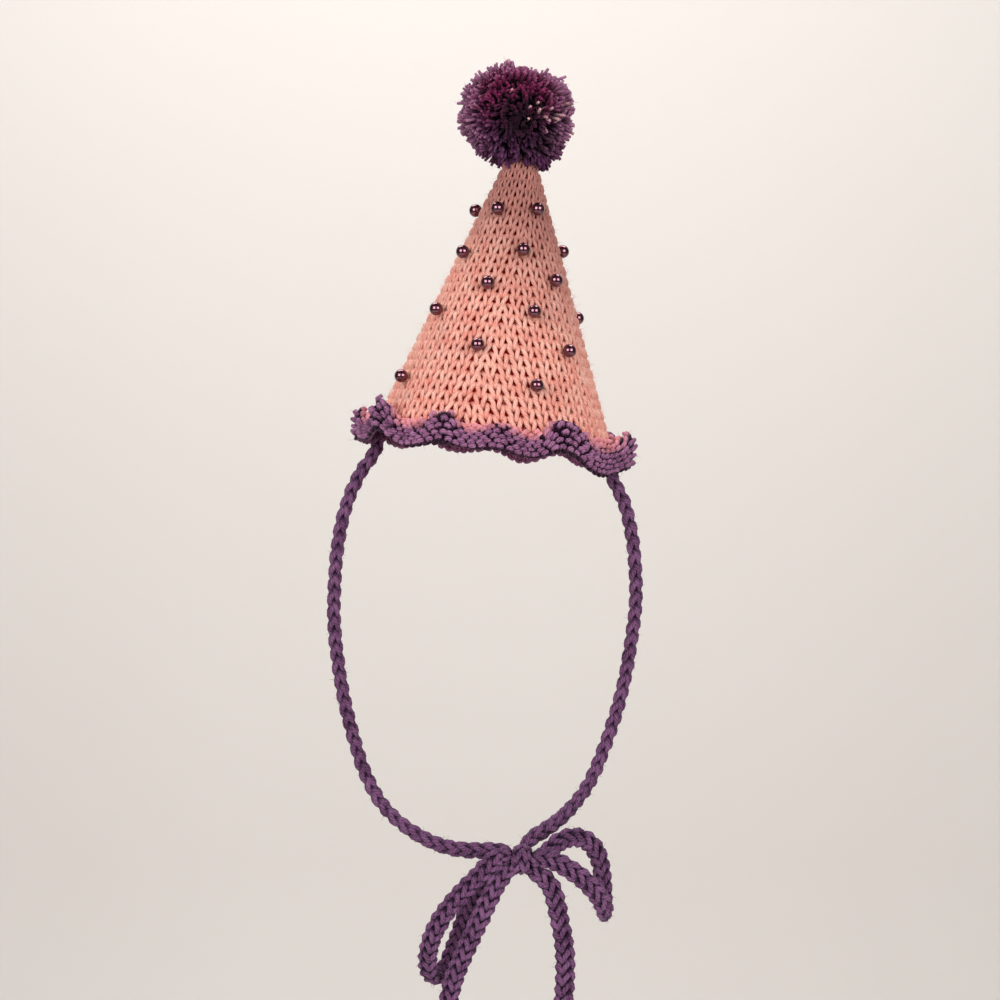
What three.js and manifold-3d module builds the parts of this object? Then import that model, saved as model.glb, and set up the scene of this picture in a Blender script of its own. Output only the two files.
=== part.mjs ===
// Knitted party hat: a hollow cone with round beads and a yarn pompom, a ruffle round
// its mouth, and two knitted ties that meet in a bow under the chin.
// Millimetres, +Z up, the front towards -Y, the wearer's right towards -X.
// The origin is the middle of the mouth, where the hat sits on a head.
import * as THREE from "three";
import { mergeVertices } from "three/addons/utils/BufferGeometryUtils.js";
import Module from "manifold-3d";

const wasm = await Module();
wasm.setup();
const { degToRad, lerp, smoothstep } = THREE.MathUtils;

// The hat leans towards +X as it is worn, and its ties hang straight down
const HAT_LEAN = degToRad(5.8);
const GAP = 0.3;

// Cone of the crown, in the hat's own frame with its axis along +Z
const MOUTH_RADIUS = 54.2;
const CONE_HALF_ANGLE = degToRad(20.5);
const KNIT_WALL = 3.4;
const CROWN_FOOT = 0.8;
const CROWN_SHOULDER = 128;
const CROWN_TIP = 132;
const TIP_ROUNDING = 0.62;
const CROWN_COLUMNS = 48;
const CROWN_BANDS = 8;

// Three decrease lines wind round the cone as logarithmic spirals
const DECREASE_LINES = 3;
const DECREASE_START = degToRad(-24);
const DECREASE_WIND = 0.46;
const DECREASE_DEPTH = 0.7;

// Ruffle, from its join under the crown to its hem
const RUFFLE_WALL = 3.2;
const RUFFLE_JOIN_HEIGHT = 2;
const RUFFLE_JOIN_RADIUS = 55.9;
const RUFFLE_STATIONS = 6;
const RUFFLE_COLUMNS_PER_WAVE = 8;
const CREST_ROLL = 2.05;
const DIP_ROLL = 2.2;
const DIP_SWELL = 3;
const RUFFLE_SLOPE_STEP = 0.02;

// Each wave's crest: where it stands, how far it flares, how high it rises over the join,
// its hem's height, and the hem's height in the dip that follows
const WAVES = [
  { at: -88, flare: 6, rise: 6.5, hem: -7, dip: -7 },
  { at: -57, flare: 4.5, rise: 10, hem: -3, dip: -8.6 },
  { at: -20, flare: 4, rise: 6.2, hem: -5, dip: -6.2 },
  { at: 2, flare: 3, rise: 3.4, hem: -4.5, dip: -7.5 },
  { at: 30, flare: 4.5, rise: 8, hem: -3.5, dip: -13 },
  { at: 84, flare: 7, rise: 6.8, hem: -8, dip: -9 },
  { at: 117, flare: 5, rise: 8, hem: -5, dip: -8 },
  { at: 149, flare: 5, rise: 7.5, hem: -4, dip: -9 },
  { at: 181, flare: 4, rise: 8, hem: -5, dip: -7 },
  { at: 212, flare: 5, rise: 7, hem: -4, dip: -8 },
  { at: 243, flare: 4.5, rise: 8, hem: -5, dip: -8 },
];

// Beads sewn on the cone, in bands that climb a little towards +X: height at the front,
// climb for each degree round, and azimuths from the front towards +X
const BEAD_RADIUS = 3;
const BEAD_SIDES = 10;
const BEAD_ROWS = 5;
const BEAD_BANDS = [
  { height: 100.3, climb: 0.03, azimuths: [-24, 30, 142, 195, 248] },
  { height: 81.3, climb: 0.045, azimuths: [-51, 11, 114, 172, 228] },
  { height: 66.6, climb: 0.08, azimuths: [-16, 42, 135, 185, 232] },
  { height: 53.9, climb: 0.03, azimuths: [-54, 20, 114, 172, 230] },
  { height: 37.7, climb: 0.035, azimuths: [-14, 44, 130, 180, 232] },
  { height: 21.8, climb: 0.01, azimuths: [-60, 20, 125, 178, 232] },
];
const BEADS_TURN_BACK = 130;

// Pompom, with its middle a little off the hat's axis
const POMPOM = { x: -4.2, y: 0, height: 145.4, radius: 26.6, flatness: 0.93 };
const POMPOM_HEAD = { radius: 17, sides: 20, rows: 12 };
const LOCK_COUNT = 76;
const LOCK_SIDES = 5;
const LOCK_FOOT = 5.6;
const LOCK_TOP = 3.8;
const LOCK_ROOT = 13.6;
const LOCK_UNEVENNESS = 0.035;

// The pompom's pocket for the crown's tip
const POCKET_CLEARANCE = 0.6;
const POCKET_DEPTH = 40;
const POCKET_SIDES = 24;

// Where the pompom swells or parts: direction from its middle, reach and width
const POMPOM_LOBES = [
  { x: 0.5, y: -0.1, z: -0.86, swell: 0.15, width: 0.5 },
  { x: 0.72, y: -0.35, z: 0.6, swell: 0.05, width: 0.45 },
  { x: -0.75, y: -0.3, z: 0.55, swell: 0.03, width: 0.45 },
  { x: 0.3, y: -0.4, z: 0.87, swell: -0.12, width: 0.25 },
  { x: -0.35, y: 0.1, z: -0.93, swell: -0.04, width: 0.35 },
];

// Ties: knitted cord. Routes are lists of x, y, z along the middle of the cord
const CORD_DIAMETER = 6.8;
const CORD_SIDES = 10;

// Down the wearer's right cheek and under the chin
const TIE_LEFT = {
  steps: 17,
  route: [
    [-50.7, 1, 5.2],
    [-50.9, 1, 2],
    [-51.8, 1, -2.5],
    [-54.5, 0.5, -8.5],
    [-58.5, -1, -14],
    [-62, -2, -20.5],
    [-65, -3, -28],
    [-67.5, -4, -37],
    [-69.5, -4, -48],
    [-70.8, -4, -61.5],
    [-71.3, -4, -75],
    [-70.8, -4, -88.5],
    [-69.2, -5, -102],
    [-66.4, -7, -117.5],
    [-62, -10, -134],
    [-56.3, -15, -150],
    [-49, -20, -162],
    [-40, -26, -170],
    [-30, -32, -175.5],
    [-20.5, -37, -178.5],
    [-11.5, -41, -179.4],
    [-3.5, -43.8, -179.2],
    [3.6, -45.8, -179],
  ],
};

// Down the wearer's left cheek
const TIE_RIGHT = {
  steps: 14,
  route: [
    [50.3, -3, -5.2],
    [50.9, -2.6, -9],
    [52, -2.2, -13.5],
    [53.8, -2, -18.5],
    [56.2, -2, -23.5],
    [59, -2, -29.5],
    [61.2, -3, -38],
    [62.9, -4, -48],
    [63.9, -4, -61.5],
    [63.9, -4, -75],
    [62, -5, -90.5],
    [58.8, -7, -108.5],
    [54.6, -10, -124],
    [49.8, -14, -137],
    [43.6, -19, -151],
    [36.6, -26, -160.5],
    [30, -32.6, -166.4],
    [23.2, -38.4, -170.6],
    [15.6, -44.2, -174.8],
  ],
};

// Both loops leave the knot and come back to it
const LOOP_LEFT = {
  steps: 16,
  route: [
    [2.2, -53.9, -180.4],
    [-1.5, -54.8, -183.5],
    [-5.6, -56, -187.6],
    [-10, -57, -191.8],
    [-14.4, -57.5, -196.5],
    [-19, -57.5, -202],
    [-22.9, -57, -208],
    [-25.9, -56, -214.5],
    [-27.6, -53.5, -221.5],
    [-27.8, -49.5, -228.5],
    [-26, -44.5, -233.5],
    [-23, -39, -234.5],
    [-20.2, -36, -231],
    [-17.3, -35, -224.5],
    [-14.8, -35.5, -217.5],
    [-12.2, -37, -210],
    [-9.4, -39.5, -203],
    [-6.4, -42, -197],
    [-2.8, -44.5, -191.5],
    [1.8, -46.2, -187],
  ],
};
const LOOP_RIGHT = {
  steps: 14,
  route: [
    [21.1, -46.4, -181.4],
    [24.8, -46, -178.6],
    [29.2, -44.4, -175],
    [35.4, -41.6, -173.8],
    [41.4, -39, -176],
    [45.4, -37.5, -181.6],
    [47.3, -36.8, -189],
    [48.2, -37.5, -196.6],
    [48.8, -40.5, -202.5],
    [48.8, -45.5, -205.2],
    [48.2, -51, -203.8],
    [46.4, -55.5, -199],
    [42.3, -58, -193],
    [37.2, -58.5, -188],
    [31.7, -58, -184.4],
    [26.4, -56.2, -181.8],
    [21.2, -54, -180.8],
  ],
};

// The free ends hang in front of the throat
const END_LEFT = {
  steps: 5,
  route: [
    [5.7, -53.1, -186.7],
    [1.6, -55.6, -192],
    [-1, -56.6, -197],
    [-3.6, -57, -202.5],
    [-6.8, -57, -209.5],
    [-10.1, -56.5, -216.5],
    [-13.1, -55.5, -223.5],
    [-16, -54.5, -231],
    [-18.2, -53.5, -239],
    [-19.6, -52.5, -249],
  ],
};
const END_RIGHT = {
  steps: 5,
  route: [
    [18.5, -50.5, -187.4],
    [22.4, -51, -190.2],
    [25.6, -51.4, -194.8],
    [27, -51.6, -199.8],
    [28.4, -51.6, -206.5],
    [29.9, -51.4, -214],
    [30.9, -51.2, -221.5],
    [31.1, -51, -229.5],
    [30.7, -51, -238],
    [29.8, -51, -249],
  ],
};

// Knot: a squeezed ball with two turns of cord round it
const KNOT = { x: 11.9, y: -49.6, z: -182, across: 8.4, deep: 7.8, high: 7 };
const KNOT_SIDES = 16;
const KNOT_ROWS = 10;
const KNOT_TURN = { depth: 0.1, width: 0.22 };

function yarn(color, roughness) {
  return new THREE.MeshStandardMaterial({ color, roughness, metalness: 0 });
}
const CROWN_YARN = yarn(0xdf9886, 0.9);
const RUFFLE_YARN = yarn(0x6d4a80, 0.9);
const CORD_YARN = yarn(0x65437a, 0.9);
const POMPOM_YARN = yarn(0x5c2860, 0.95);
const PEARL = new THREE.MeshStandardMaterial({ color: 0x5b2b3a, roughness: 0.2, metalness: 0.6 });

function point(x, y, z) {
  return new THREE.Vector3(x, y, z);
}

// A point of the hat's frame by radius, azimuth from the front towards +X, and height
function around(radius, azimuth, height) {
  return point(radius * Math.sin(azimuth), -radius * Math.cos(azimuth), height);
}

// Turns every face over if the closed skin encloses a negative volume
function facingOut(geometry) {
  const at = geometry.attributes.position;
  const index = geometry.index.array;
  const corner = [point(0, 0, 0), point(0, 0, 0), point(0, 0, 0)];
  let volume = 0;
  for (let i = 0; i < index.length; i += 3) {
    corner.forEach((c, k) => c.fromBufferAttribute(at, index[i + k]));
    volume += corner[0].dot(corner[1].clone().cross(corner[2])) / 6;
  }
  if (volume < 0) {
    for (let i = 0; i < index.length; i += 3) {
      const first = index[i];
      index[i] = index[i + 2];
      index[i + 2] = first;
    }
  }
  return geometry;
}

// The same shape with only its corners, each one shared by the faces that meet there
function welded(geometry) {
  const bare = geometry.clone();
  bare.deleteAttribute("normal");
  bare.deleteAttribute("uv");
  return facingOut(mergeVertices(bare, 1e-3));
}

// A closed skin over rings of points: joined end to start, or closed by a fan at both ends
function skin(rings, joined) {
  const count = rings[0].length;
  const corners = rings.flat();
  const index = [];
  const bands = joined ? rings.length : rings.length - 1;
  for (let i = 0; i < bands; i++) {
    const here = i * count;
    const next = ((i + 1) % rings.length) * count;
    for (let j = 0; j < count; j++) {
      const k = (j + 1) % count;
      index.push(here + j, here + k, next + k, here + j, next + k, next + j);
    }
  }
  if (!joined) {
    const last = (rings.length - 1) * count;
    for (const [start, turn] of [[0, 1], [last, -1]]) {
      const middle = point(0, 0, 0);
      corners.slice(start, start + count).forEach((c) => middle.addScaledVector(c, 1 / count));
      corners.push(middle);
      for (let j = 0; j < count; j++) {
        const k = (j + 1) % count;
        const fan = turn > 0 ? [j, k] : [k, j];
        index.push(start + fan[1], start + fan[0], corners.length - 1);
      }
    }
  }
  const geometry = new THREE.BufferGeometry().setFromPoints(corners);
  geometry.setIndex(index);
  return facingOut(geometry);
}

function toSolid(geometry) {
  const mesh = welded(geometry);
  return new wasm.Manifold(
    new wasm.Mesh({
      numProp: 3,
      vertProperties: mesh.attributes.position.array,
      triVerts: new Uint32Array(mesh.index.array),
    }),
  );
}

function fromSolid(solid) {
  const mesh = solid.getMesh();
  const geometry = new THREE.BufferGeometry();
  geometry.setAttribute("position", new THREE.BufferAttribute(mesh.vertProperties, 3));
  geometry.setIndex(new THREE.BufferAttribute(mesh.triVerts, 1));
  return geometry;
}

function piece(name, geometry, material) {
  const mesh = new THREE.Mesh(geometry, material);
  mesh.name = name;
  return mesh;
}

function crownRadius(height) {
  return MOUTH_RADIUS - height * Math.tan(CONE_HALF_ANGLE);
}

// A decrease line's azimuth where the cone has the given radius
function decreaseAzimuth(radius) {
  return DECREASE_START + DECREASE_WIND * Math.log(MOUTH_RADIUS / radius);
}

// One ring of the cone: its columns follow the spiral lines, which lie a little deeper
function crownRing(radius, height, lineDepth) {
  const ring = [];
  const turn = decreaseAzimuth(Math.max(radius, crownRadius(CROWN_SHOULDER)));
  for (let j = 0; j < CROWN_COLUMNS; j++) {
    const onLine = j % (CROWN_COLUMNS / DECREASE_LINES) === 0;
    const azimuth = turn + (2 * Math.PI * j) / CROWN_COLUMNS;
    ring.push(around(radius - (onLine ? lineDepth : 0), azimuth, height));
  }
  return ring;
}

// The cone's wall: up the inside, over the foot, up the outside and round the tip
function makeCrown() {
  const inset = KNIT_WALL / Math.cos(CONE_HALF_ANGLE);
  const innerTop = CROWN_SHOULDER - inset * 2;
  const inside = [];
  const outside = [];
  for (let i = 0; i <= CROWN_BANDS; i++) {
    const low = lerp(CROWN_FOOT, innerTop, i / CROWN_BANDS);
    const high = lerp(CROWN_FOOT, CROWN_SHOULDER, i / CROWN_BANDS);
    inside.unshift(crownRing(crownRadius(low) - inset, low, 0));
    outside.push(crownRing(crownRadius(high), high, DECREASE_DEPTH * (1 - i / CROWN_BANDS)));
  }
  const tip = crownRing(crownRadius(CROWN_SHOULDER) * TIP_ROUNDING, CROWN_TIP, 0);
  return skin([...inside, ...outside, tip], false);
}

// The ruffle's wave at an azimuth: 1 on a crest, 0 in a dip, with the sizes between its crests
function waveAt(degrees) {
  const turned = degrees < WAVES[0].at ? degrees + 360 : degrees;
  let i = WAVES.length - 1;
  while (WAVES[i].at > turned) i -= 1;
  const here = WAVES[i];
  const next = WAVES[(i + 1) % WAVES.length];
  const nextAt = next.at > here.at ? next.at : next.at + 360;
  const t = (turned - here.at) / (nextAt - here.at);
  const s = smoothstep(t, 0, 1);
  return {
    crest: (1 + Math.cos(2 * Math.PI * t)) / 2,
    flare: lerp(here.flare, next.flare, s),
    rise: lerp(here.rise, next.rise, s),
    hem: lerp(here.hem, next.hem, s),
    dip: here.dip,
  };
}

// Middle of the ruffle's wall: s runs from the join, 0, to the hem, 1
function ruffleMiddle(degrees, s) {
  const wave = waveAt(degrees);
  const join = RUFFLE_JOIN_HEIGHT;
  const crestOut = wave.flare * Math.sin(CREST_ROLL * s);
  const crestHeight = join + wave.rise * Math.sin(Math.PI * s) - (join - wave.hem) * s * s;
  const dipOut = DIP_SWELL * Math.sin(DIP_ROLL * s);
  const dipHeight = join - (join - wave.dip) * s;
  const radius = RUFFLE_JOIN_RADIUS + lerp(dipOut, crestOut, wave.crest);
  return around(radius, degToRad(degrees), lerp(dipHeight, crestHeight, wave.crest));
}

// A point on one face of the ruffle's wall
function ruffleFace(degrees, s, side) {
  const up = ruffleMiddle(degrees, Math.min(1, s + RUFFLE_SLOPE_STEP));
  up.sub(ruffleMiddle(degrees, Math.max(0, s - RUFFLE_SLOPE_STEP)));
  const along = ruffleMiddle(degrees + 1, s).sub(ruffleMiddle(degrees - 1, s));
  const normal = up.cross(along).normalize();
  return ruffleMiddle(degrees, s).addScaledVector(normal, (side * RUFFLE_WALL) / 2);
}

function makeRuffle() {
  const columns = WAVES.length * RUFFLE_COLUMNS_PER_WAVE;
  const rings = [];
  for (const side of [-1, 1]) {
    for (let i = 0; i < RUFFLE_STATIONS; i++) {
      const s = i / (RUFFLE_STATIONS - 1);
      const ring = [];
      for (let j = 0; j < columns; j++) {
        const wave = Math.floor(j / RUFFLE_COLUMNS_PER_WAVE);
        const start = WAVES[wave].at;
        const end = wave + 1 < WAVES.length ? WAVES[wave + 1].at : WAVES[0].at + 360;
        const degrees = lerp(start, end, (j % RUFFLE_COLUMNS_PER_WAVE) / RUFFLE_COLUMNS_PER_WAVE);
        ring.push(ruffleFace(degrees, side < 0 ? s : 1 - s, side));
      }
      rings.push(ring);
    }
  }
  return skin(rings, true);
}

// How far the pompom reaches in a direction
function pompomReach(direction) {
  const { radius, flatness } = POMPOM;
  const tall = Math.hypot(direction.x, direction.y, direction.z / flatness);
  let swell = 1;
  for (const lobe of POMPOM_LOBES) {
    const away = point(lobe.x, lobe.y, lobe.z).normalize().angleTo(direction);
    swell += lobe.swell * Math.exp(-((away / lobe.width) ** 2));
  }
  return (radius / tall) * swell;
}

// The crown's tip, a little larger all round
function makePocket() {
  const clear = POCKET_CLEARANCE;
  const low = CROWN_SHOULDER - POCKET_DEPTH;
  const shoulder = crownRadius(CROWN_SHOULDER);
  const profile = [
    [0, low],
    [crownRadius(low) + clear, low],
    [shoulder + clear, CROWN_SHOULDER],
    [shoulder * TIP_ROUNDING + clear, CROWN_TIP + clear],
    [0, CROWN_TIP + clear],
  ];
  const corners = profile.map(([radius, height]) => new THREE.Vector2(radius, height));
  return new THREE.LatheGeometry(corners, POCKET_SIDES).rotateX(Math.PI / 2);
}

// Locks of yarn set evenly over a ball by the golden angle, fused to its head,
// with a pocket below for the crown's tip
function makePompom() {
  const golden = Math.PI * (3 - Math.sqrt(5));
  const head = POMPOM_HEAD;
  let ball = toSolid(new THREE.SphereGeometry(head.radius, head.sides, head.rows));
  for (let i = 0; i < LOCK_COUNT; i++) {
    const z = 1 - (2 * (i + 0.5)) / LOCK_COUNT;
    const ring = Math.sqrt(1 - z * z);
    const direction = point(ring * Math.cos(i * golden), ring * Math.sin(i * golden), z);
    const reach = pompomReach(direction) * (1 - LOCK_UNEVENNESS * (i % 3));
    const length = reach - LOCK_ROOT;
    const lock = new THREE.CylinderGeometry(LOCK_TOP, LOCK_FOOT, length, LOCK_SIDES);
    lock.translate(0, LOCK_ROOT + length / 2, 0);
    const turn = new THREE.Quaternion().setFromUnitVectors(point(0, 1, 0), direction);
    lock.applyQuaternion(turn);
    ball = ball.add(toSolid(lock));
  }
  ball = ball.translate([POMPOM.x, POMPOM.y, POMPOM.height]);
  return fromSolid(ball.subtract(toSolid(makePocket())));
}

// A bead rests on the cone's surface. Past the back, its band climbs back down to its start
function placeBead(mesh, band, degrees) {
  const climbed = degrees < BEADS_TURN_BACK ? degrees : 2 * BEADS_TURN_BACK - degrees;
  const height = band.height + band.climb * climbed;
  const out = BEAD_RADIUS + GAP;
  const foot = around(crownRadius(height), degToRad(degrees), height);
  const normal = around(Math.cos(CONE_HALF_ANGLE), degToRad(degrees), Math.sin(CONE_HALF_ANGLE));
  mesh.position.copy(foot.addScaledVector(normal, out));
}

function makeBeads() {
  const beads = [];
  const round = welded(new THREE.SphereGeometry(BEAD_RADIUS, BEAD_SIDES, BEAD_ROWS));
  for (const band of BEAD_BANDS) {
    for (const degrees of band.azimuths) {
      const name = "bead_" + String(beads.length + 1).padStart(2, "0");
      const bead = piece(name, round, PEARL);
      placeBead(bead, band, degrees);
      beads.push(bead);
    }
  }
  return beads;
}

// A cord of round section swept along its route
function makeCord({ route, steps }) {
  const section = new THREE.Shape();
  for (let i = 0; i < CORD_SIDES; i++) {
    const turn = (2 * Math.PI * i) / CORD_SIDES;
    const corner = [(CORD_DIAMETER / 2) * Math.cos(turn), (CORD_DIAMETER / 2) * Math.sin(turn)];
    if (i === 0) section.moveTo(...corner);
    else section.lineTo(...corner);
  }
  const extrudePath = new THREE.CatmullRomCurve3(
    route.map((p) => point(...p)),
    false,
    "centripetal",
  );
  return welded(new THREE.ExtrudeGeometry(section, { steps, extrudePath, bevelEnabled: false }));
}

function makeKnot() {
  const ball = welded(new THREE.SphereGeometry(1, KNOT_SIDES, KNOT_ROWS));
  ball.rotateZ(Math.PI / 2);
  const at = ball.attributes.position;
  for (let i = 0; i < at.count; i++) {
    const pinch = 1 - KNOT_TURN.depth * Math.exp(-((at.getX(i) / KNOT_TURN.width) ** 2));
    const y = at.getY(i) * pinch * KNOT.deep;
    const z = at.getZ(i) * pinch * KNOT.high;
    at.setXYZ(i, at.getX(i) * KNOT.across, y, z);
  }
  return ball;
}

const hat = new THREE.Group();
hat.rotation.y = HAT_LEAN;
hat.add(
  piece("crown", makeCrown(), CROWN_YARN),
  piece("ruffle", makeRuffle(), RUFFLE_YARN),
  piece("pompom", makePompom(), POMPOM_YARN),
  ...makeBeads(),
);

const knot = piece("bow_knot", makeKnot(), CORD_YARN);
knot.position.set(KNOT.x, KNOT.y, KNOT.z);

const partyHat = new THREE.Group();
partyHat.add(
  hat,
  piece("tie_left", makeCord(TIE_LEFT), CORD_YARN),
  piece("tie_right", makeCord(TIE_RIGHT), CORD_YARN),
  knot,
  piece("bow_loop_left", makeCord(LOOP_LEFT), CORD_YARN),
  piece("bow_loop_right", makeCord(LOOP_RIGHT), CORD_YARN),
  piece("tie_end_left", makeCord(END_LEFT), CORD_YARN),
  piece("tie_end_right", makeCord(END_RIGHT), CORD_YARN),
);

export default partyHat;
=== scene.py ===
import math

import bmesh
import bpy
import numpy as np
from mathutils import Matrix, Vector


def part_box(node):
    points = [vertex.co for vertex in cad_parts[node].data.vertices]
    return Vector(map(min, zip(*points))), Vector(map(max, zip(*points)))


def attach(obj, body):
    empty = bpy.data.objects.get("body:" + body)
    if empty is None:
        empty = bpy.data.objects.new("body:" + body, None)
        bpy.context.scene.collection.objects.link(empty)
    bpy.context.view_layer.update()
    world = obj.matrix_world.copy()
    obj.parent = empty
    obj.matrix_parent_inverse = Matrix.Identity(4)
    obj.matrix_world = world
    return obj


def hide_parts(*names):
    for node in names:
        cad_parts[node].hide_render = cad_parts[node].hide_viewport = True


MM = 0.001
TAU = 2 * math.pi

# Fine fibres that stand off the yarn: how far they tilt and turn, and their shares of a length
FIBRE_RADIUS = 0.08
FIBRE_TILT = (0.9, 0.9, 3.1)
FIBRE_SHARES = (0.4, 1.2)

# Plies twisted into each yarn, for the relief of its surface
PLIES = 4
PLY_LENGTH = 7.0
PLY_BUMP = 0.3
PLY_HEIGHT = 0.6

# Yarns: radius, faces round it, and fibres by the square metre and by their length
CROWN_YARN = {"radius": 1.08, "sides": 7, "fibres": 80000, "fibre_length": 4}
RUFFLE_YARN = {"radius": 0.95, "sides": 7, "fibres": 50000, "fibre_length": 3}
CORD_YARN = {"radius": 1.12, "sides": 8, "fibres": 60000, "fibre_length": 2.6}
POMPOM_YARN = {"radius": 0.86, "sides": 4, "fibres": 110000, "fibre_length": 3}

# Seeds of all that is random. Each cord has its own in its table
SEEDS = {"crown": 11, "ruffle": 23, "knot": 31, "pompom": 7}
FIBRE_SEEDS = {"crown": 3, "ruffle": 5, "knot": 33, "pompom": 9}

# Camera, level with a point a little below the hat's mouth
CAMERA_AT = (3.15, -1050, -28)
CAMERA_LENS = 84
SENSOR = 36

# Stage: a floor that runs back and curves up into a wall
FLOOR_Z = -900
STAGE_HALF_WIDTH = 4200
STAGE_FRONT = -1500
STAGE_BACK = 1350
STAGE_CURVE = 500
STAGE_CURVE_STEPS = 24
STAGE_TOP = 3600

# Rectangular lights: place, aim, width and height in metres, watts and colour
LIGHTS = {
    "overhead": ((-0.05, 0.4, 1.15), (0, 0.75, 0), (1.4, 0.66), 17, (1, 0.98, 0.96)),
    "front_left": ((-1.06, -1.63, 0.5), (0, 0, -0.03), (1.3, 1.2), 25, (1, 0.98, 0.97)),
    "front_right": ((1.06, -1.63, 0.45), (0, 0, -0.03), (1.25, 1.15), 23, (1, 0.98, 0.97)),
}
WORLD_COLOUR = (0.96, 0.95, 0.94)
WORLD_STRENGTH = 0.1

# The hat's cone, leaning towards +X
HAT_LEAN = math.radians(5.8)
MOUTH_RADIUS = 54.2
CONE_HALF_ANGLE = math.radians(20.5)
DECREASE_START = math.radians(-24)
DECREASE_WIND = 0.46
PANELS = 3

# A panel loses a stitch in these rounds of every so many
DECREASE_ROUNDS = (2, 5)
DECREASE_REPEAT = 5

# Crown knitting: rounds of stitches from the mouth up
CROWN_ROUNDS = 28
CROWN_FIRST_ROUND = 6.0
CROWN_ROUND_HEIGHT = 4.5
CROWN_STITCHES = 16
CROWN_NARROWING = 0.4
CROWN_SWAY = 0.23
CROWN_REACH = 0.93
CROWN_LOOP_DEPTH = 1.6
CROWN_POINTS = 14
CROWN_SPLIT_ROUND = 9
CROWN_THINNING = 0.75
CROWN_EASE = (0.02, 0.02, 0.08)

# Where a panel loses a stitch: how deep that stitch lies and how many beside it make room
DECREASE_DEPTH = 0.5
DECREASE_REACH = 3

# The matted inside of the crown, dark with painted shade: heights of its foot and top,
# depths under the yarn, and how finely it is built
CROWN_LINING_FOOT = 4
CROWN_LINING_TOP = 128
CROWN_LINING_FACE = 1.2
CROWN_LINING_BACK = 1.8
CROWN_LINING_RINGS = 8
CROWN_LINING_POINTS = 60

# How far yarn has to face the hat's axis to be seen from inside, and so lose its painted shade
FACING_IN = -0.4
FACING_BLEND = 0.5

# Ruffle knitting, purl side out, from its join down to its hem
RUFFLE_JOIN_HEIGHT = 2
RUFFLE_JOIN_RADIUS = 55.9
CREST_ROLL = 2.05
DIP_ROLL = 2.2
DIP_SWELL = 3
RUFFLE_ROUNDS = 7
RUFFLE_STITCHES = 96
RUFFLE_LOOP_DEPTH = 1.35
RUFFLE_POINTS = 12
RUFFLE_SWAY = 0.1
RUFFLE_REACH = 0.64
RUFFLE_EDGE_REACH = 0.25
RUFFLE_EASE = (0.11, 0.07, 0.38)
# How much painted shade the ruffle's deep loops take
RUFFLE_PAINTED_SHADE = 0.65
RUFFLE_TINT = 1.3
RUFFLE_TINT_FADE = 0.45
RUFFLE_LINING_POINTS = 176
RUFFLE_LINING_HALF = 0.25
RUFFLE_LINING_SHARES = np.linspace(0.04, 0.96, 6)
WALL_STEPS = 45
SEAM_RADIUS = 53.3
SEAM_HEIGHT = 1.7
SEAM_WIDTH = 2.9
SEAM_RISE = 1.2
SEAM_POINTS = 8

# Each wave's crest: where it stands, how far it flares, how high it rises over the join,
# its hem's height, and the hem's height in the dip that follows
WAVES = [
    {"at": -88, "flare": 6, "rise": 6.5, "hem": -7, "dip": -7},
    {"at": -57, "flare": 4.5, "rise": 10, "hem": -3, "dip": -8.6},
    {"at": -20, "flare": 4, "rise": 6.6, "hem": -6.4, "dip": -6.8},
    {"at": 2, "flare": 3, "rise": 3.8, "hem": -6.6, "dip": -8.4},
    {"at": 30, "flare": 4.5, "rise": 8.4, "hem": -5.3, "dip": -13},
    {"at": 84, "flare": 7, "rise": 6.8, "hem": -8, "dip": -9},
    {"at": 117, "flare": 5, "rise": 8, "hem": -5, "dip": -8},
    {"at": 149, "flare": 5, "rise": 7.5, "hem": -4, "dip": -9},
    {"at": 181, "flare": 4, "rise": 8, "hem": -5, "dip": -7},
    {"at": 212, "flare": 5, "rise": 7, "hem": -4, "dip": -8},
    {"at": 243, "flare": 4.5, "rise": 8, "hem": -5, "dip": -8},
]

# Pompom, with the radius where its strands start and that of its matted core, dark with painted
# shade
POMPOM = {"middle": (-4.2, 0, 145.4), "radius": 26.6, "flatness": 0.93, "root": 9, "core": 17}
POMPOM_CORE_RINGS = 12
POMPOM_CORE_SIDES = 24
POMPOM_CORE_POLE = 0.15
STRANDS = 3300
STRAND_REACH = (0.87, 0.965)
STRAND_GIRTH = (0.78, 1.16)
STRAND_DRIFT = 0.013
POMPOM_SHAKE = 0.13

# Where the pompom swells or parts: direction from its middle, share of its radius, and width
POMPOM_LOBES = [
    {"x": 0.5, "y": -0.1, "z": -0.86, "swell": 0.15, "width": 0.5},
    {"x": 0.72, "y": -0.35, "z": 0.6, "swell": 0.05, "width": 0.45},
    {"x": -0.75, "y": -0.3, "z": 0.55, "swell": 0.03, "width": 0.45},
    {"x": 0.32, "y": -0.3, "z": 0.9, "swell": -0.17, "width": 0.25},
    {"x": -0.35, "y": 0.1, "z": -0.93, "swell": -0.04, "width": 0.35},
    {"x": 0.0, "y": -0.97, "z": -0.25, "swell": -0.22, "width": 0.33},
    {"x": -0.1, "y": 0.0, "z": 1.0, "swell": -0.09, "width": 0.5},
]

# Places of its colours: its middle, two spots of painted shadow near black, and the one with pink
# ends
POMPOM_MIDDLE = (10.5, 0, 145)
POMPOM_PAINTED_SHADOW = (12, -25, 138)
POMPOM_SHADED = (22, -20, 129)
POMPOM_PINK = (23, -22, 141)

# Pearls
PEARLS = 30
PEARL_RADIUS = 3
PEARL_SPOKES = 24
PEARL_RINGS = 16

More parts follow.
